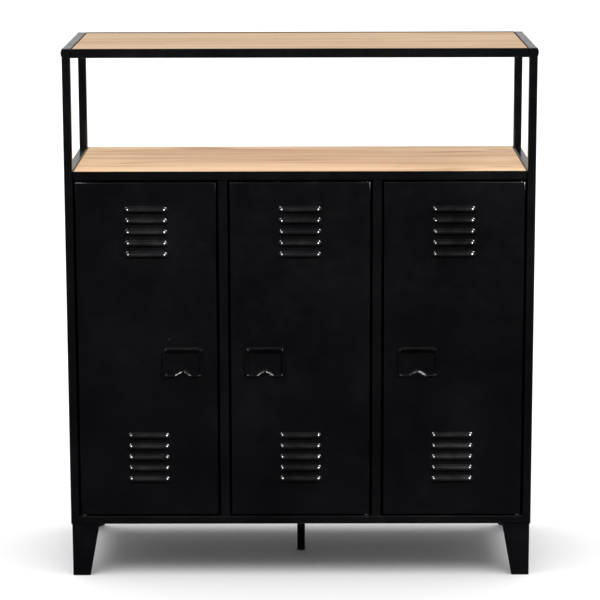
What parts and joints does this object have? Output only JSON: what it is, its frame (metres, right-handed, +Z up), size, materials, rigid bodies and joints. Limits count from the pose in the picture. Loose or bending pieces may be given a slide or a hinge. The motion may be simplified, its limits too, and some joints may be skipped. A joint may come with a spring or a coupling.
{
  "type": "sideboard buffet",
  "caption": "Locker-style steel sideboard: wood boards in a square-tube frame, an open middle bay, louvred hinged doors with drop-ring handles, tapered legs.",
  "frame": {"origin": "on the floor, under the middle of the whole object's box", "axes": "+Z up; -Y is the front, towards someone opening the doors; +X is to that person's right"},
  "size_m": [1.0252, 0.4102, 1.174],
  "materials": {
    "black_steel": "satin black powder coat",
    "oak_board": "matt light oak decor",
    "black_plastic": "moulded black",
    "zinc_steel": "turned, zinc plated"
  },
  "bodies": {
    "cabinet": {"post_front_left": "black_steel", "post_front_right": "black_steel", "post_back_left": "black_steel", "post_back_right": "black_steel", "top_side_rail_left": "black_steel", "mid_side_rail_left": "black_steel", "top_side_rail_right": "black_steel", "mid_side_rail_right": "black_steel", "top_front_rail": "black_steel", "top_back_rail": "black_steel", "mid_front_rail": "black_steel", "mid_back_rail": "black_steel", "top_board": "oak_board", "mid_board": "oak_board", "side_panel_left": "black_steel", "side_panel_right": "black_steel", "back_panel": "black_steel", "floor_tray": "black_steel", "partition_left": "black_steel", "partition_right": "black_steel", "shelf_left": "black_steel", "shelf_support_left_a": "black_steel", "shelf_support_left_b": "black_steel", "pivot_washer_left": "black_plastic", "magnetic_catch_left": "black_plastic", "shelf_middle": "black_steel", "shelf_support_middle_a": "black_steel", "shelf_support_middle_b": "black_steel", "pivot_washer_middle": "black_plastic", "magnetic_catch_middle": "black_plastic", "shelf_right": "black_steel", "shelf_support_right_a": "black_steel", "shelf_support_right_b": "black_steel", "pivot_washer_right": "black_plastic", "magnetic_catch_right": "black_plastic", "leg_front_left": "black_steel", "rail_bolt_front_left": "black_steel", "leg_front_right": "black_steel", "rail_bolt_front_right": "black_steel", "leg_back_left": "black_steel", "rail_bolt_back_left": "black_steel", "leg_back_right": "black_steel", "rail_bolt_back_right": "black_steel", "center_leg": "black_steel", "center_leg_glide": "black_plastic"},
    "leaf_left": {"door_left": "black_steel", "handle_plate_left": "black_steel", "pivot_pin_top_left": "black_steel", "pivot_pin_bottom_left": "zinc_steel"},
    "ring_left": {"handle_ring_left": "black_steel"},
    "leaf_middle": {"door_middle": "black_steel", "handle_plate_middle": "black_steel", "pivot_pin_top_middle": "black_steel", "pivot_pin_bottom_middle": "zinc_steel"},
    "ring_middle": {"handle_ring_middle": "black_steel"},
    "leaf_right": {"door_right": "black_steel", "handle_plate_right": "black_steel", "pivot_pin_top_right": "black_steel", "pivot_pin_bottom_right": "zinc_steel"},
    "ring_right": {"handle_ring_right": "black_steel"}
  },
  "joints": [
    {"name": "door_left_hinge", "type": "hinge", "parent": "cabinet", "child": "leaf_left", "pos_m": [-0.48, -0.18695, 0.513], "axis": [0, 0, -1], "range_deg": [0, 110]},
    {"name": "ring_left_hinge", "type": "hinge", "parent": "leaf_left", "child": "ring_left", "pos_m": [-0.25733, -0.20015, 0.516], "axis": [-1, 0, 0], "range_deg": [-3, 165]},
    {"name": "door_middle_hinge", "type": "hinge", "parent": "cabinet", "child": "leaf_middle", "pos_m": [0.14533, -0.18695, 0.513], "axis": [0, 0, 1], "range_deg": [0, 110]},
    {"name": "ring_middle_hinge", "type": "hinge", "parent": "leaf_middle", "child": "ring_middle", "pos_m": [-0.07733, -0.20015, 0.516], "axis": [-1, 0, 0], "range_deg": [-3, 165]},
    {"name": "door_right_hinge", "type": "hinge", "parent": "cabinet", "child": "leaf_right", "pos_m": [0.48, -0.18695, 0.513], "axis": [0, 0, 1], "range_deg": [0, 110]},
    {"name": "ring_right_hinge", "type": "hinge", "parent": "leaf_right", "child": "ring_right", "pos_m": [0.25733, -0.20015, 0.516], "axis": [-1, 0, 0], "range_deg": [-3, 165]}
  ]
}
